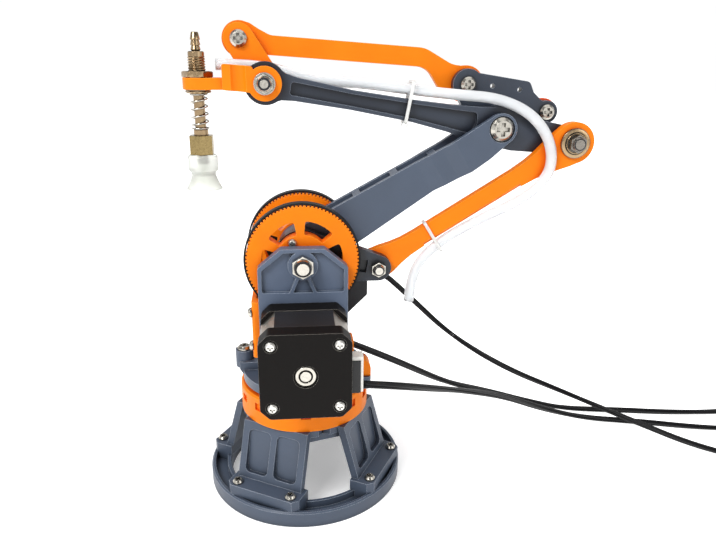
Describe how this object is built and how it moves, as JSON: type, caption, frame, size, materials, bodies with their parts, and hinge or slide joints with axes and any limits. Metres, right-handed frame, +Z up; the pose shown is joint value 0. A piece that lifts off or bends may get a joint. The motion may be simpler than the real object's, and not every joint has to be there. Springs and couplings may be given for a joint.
{
  "type": "parallel-link robot arm",
  "caption": "Desktop parallel-link robot arm: round base with turning turret, belt-driven shoulder, levelling links and a sprung vacuum cup tool.",
  "frame": {"origin": "middle of the base ring on the surface it stands on", "axes": "+X the way the arm reaches, +Y towards the side with the front motor, +Z up along the turret's turning axis"},
  "size_m": [0.4547, 0.1408, 0.2498],
  "materials": {
    "orange": "printed, satin",
    "dark": "printed, satin",
    "red_orange": "printed, satin",
    "cap_black": "black coated, satin",
    "stack": "laminated, dark",
    "steel": "bright",
    "brass": "plated, worn",
    "belt": "matte",
    "silicone": "translucent white",
    "hose": "clear, glossy",
    "white": "moulded",
    "black": "moulded, matte"
  },
  "bodies": {
    "base": {"base_ring": "dark", "legs": "dark", "base_screws": "steel", "top_plate": "dark", "drum": "orange", "glide_ring": "white", "yaw_motor_stack": "stack", "yaw_motor_caps": "cap_black"},
    "turret": {"yaw_motor_shaft": "steel", "turret_floor": "dark", "turret_screws": "steel", "near_wall": "dark", "far_wall": "dark", "front_cover": "orange", "cable_guide": "orange", "side_motor_stacks": "stack", "side_motor_caps": "cap_black", "side_motor_screws": "steel", "motor_sockets": "black", "lead_plugs": "white", "belts": "belt", "shoulder_bolt": "steel", "level_pivot": "steel", "lead_far": "black", "lead_yaw": "black", "lead_near": "black"},
    "near_rotor": {"near_motor_shaft": "steel", "near_motor_pulley": "steel"},
    "far_rotor": {"far_motor_shaft": "steel", "far_motor_pulley": "steel"},
    "crank": {"near_pulley": "orange", "crank": "dark", "crank_screws": "steel", "crank_bearing": "steel", "crank_bolt": "steel"},
    "lower_arm": {"lower_arm": "dark", "far_pulley": "orange", "shoulder_bearings": "steel", "elbow_bolt": "steel"},
    "triangle": {"triangle_plate": "dark", "triangle_screws": "steel"},
    "forearm": {"forearm": "dark", "elbow_bearings": "steel", "forearm_tie": "white", "hose_wrist": "hose"},
    "level_link": {"level_link": "red_orange"},
    "upper_link": {"upper_link": "orange"},
    "rear_pin": {"rear_bolt": "steel", "hose_elbow": "hose"},
    "drive_link": {"drive_link": "orange", "link_tie": "white", "hose_tail": "hose"},
    "tool_bracket": {"tool_bracket": "orange", "wrist_bolts": "steel", "stem": "brass", "stem_nuts": "steel", "spring": "steel"},
    "plunger": {"plunger_rod": "steel", "hex_adapter": "brass", "suction_cup": "silicone"}
  },
  "joints": [
    {"name": "yaw", "type": "hinge", "parent": "base", "child": "turret", "pos_m": [0, 0, 0.062], "axis": [0, 0, 1], "range_deg": [-90, 90]},
    {"name": "shoulder", "type": "hinge", "parent": "turret", "child": "lower_arm", "pos_m": [0, 0, 0.135], "axis": [0, 1, 0], "range_deg": [-2, 55]},
    {"name": "triangle_pivot", "type": "hinge", "parent": "lower_arm", "child": "triangle", "pos_m": [-0.10177, 0, 0.19859], "axis": [0, 1, 0], "range_deg": [-55, 2]},
    {"name": "elbow", "type": "hinge", "parent": "triangle", "child": "forearm", "pos_m": [-0.10177, 0, 0.19859], "axis": [0, -1, 0], "range_deg": [-8, 25]},
    {"name": "crank_pivot", "type": "hinge", "parent": "turret", "child": "crank", "pos_m": [0, 0, 0.135], "axis": [0, -1, 0], "range_deg": [-8, 25]},
    {"name": "level_swing", "type": "hinge", "parent": "turret", "child": "level_link", "pos_m": [-0.031, 0, 0.142], "axis": [0, 1, 0], "range_deg": [-2, 55]},
    {"name": "upper_pivot", "type": "hinge", "parent": "triangle", "child": "upper_link", "pos_m": [-0.08877, 0, 0.21959], "axis": [0, -1, 0], "range_deg": [-8, 25]},
    {"name": "wrist", "type": "hinge", "parent": "forearm", "child": "tool_bracket", "pos_m": [0.0163, 0, 0.22005], "axis": [0, -1, 0], "range_deg": [-25, 8], "deforming": ["hose_wrist"]},
    {"name": "rear_pivot", "type": "hinge", "parent": "forearm", "child": "rear_pin", "pos_m": [-0.14112, 0, 0.19144], "axis": [0, -1, 0], "range_deg": [-25, 8], "deforming": ["hose_elbow"]},
    {"name": "drive_pivot", "type": "hinge", "parent": "rear_pin", "child": "drive_link", "pos_m": [-0.14112, 0, 0.19144], "axis": [0, 1, 0], "range_deg": [-2, 55], "deforming": ["hose_tail"]},
    {"name": "near_motor", "type": "hinge", "parent": "turret", "child": "near_rotor", "pos_m": [0, 0, 0.0944], "axis": [0, -1, 0], "range_deg": [-36, 112.5]},
    {"name": "far_motor", "type": "hinge", "parent": "turret", "child": "far_rotor", "pos_m": [0, 0, 0.0944], "axis": [0, 1, 0], "range_deg": [-9, 247.5]},
    {"name": "plunger_slide", "type": "slide", "parent": "tool_bracket", "child": "plunger", "axis": [0, 0, 1], "range_m": [0, 0.008], "stiffness_N_per_m": 150, "springref_m": -0.008, "deforming": ["spring"]}
  ],
  "couplings": [
    {"joint": "triangle_pivot", "follows": "shoulder", "ratio": -1},
    {"joint": "crank_pivot", "follows": "elbow", "ratio": 1},
    {"joint": "level_swing", "follows": "shoulder", "ratio": 1},
    {"joint": "upper_pivot", "follows": "elbow", "ratio": 1},
    {"joint": "wrist", "follows": "elbow", "ratio": -1},
    {"joint": "rear_pivot", "follows": "elbow", "ratio": -1},
    {"joint": "drive_pivot", "follows": "shoulder", "ratio": 1},
    {"joint": "near_motor", "follows": "elbow", "ratio": 4.5},
    {"joint": "far_motor", "follows": "shoulder", "ratio": 4.5}
  ]
}
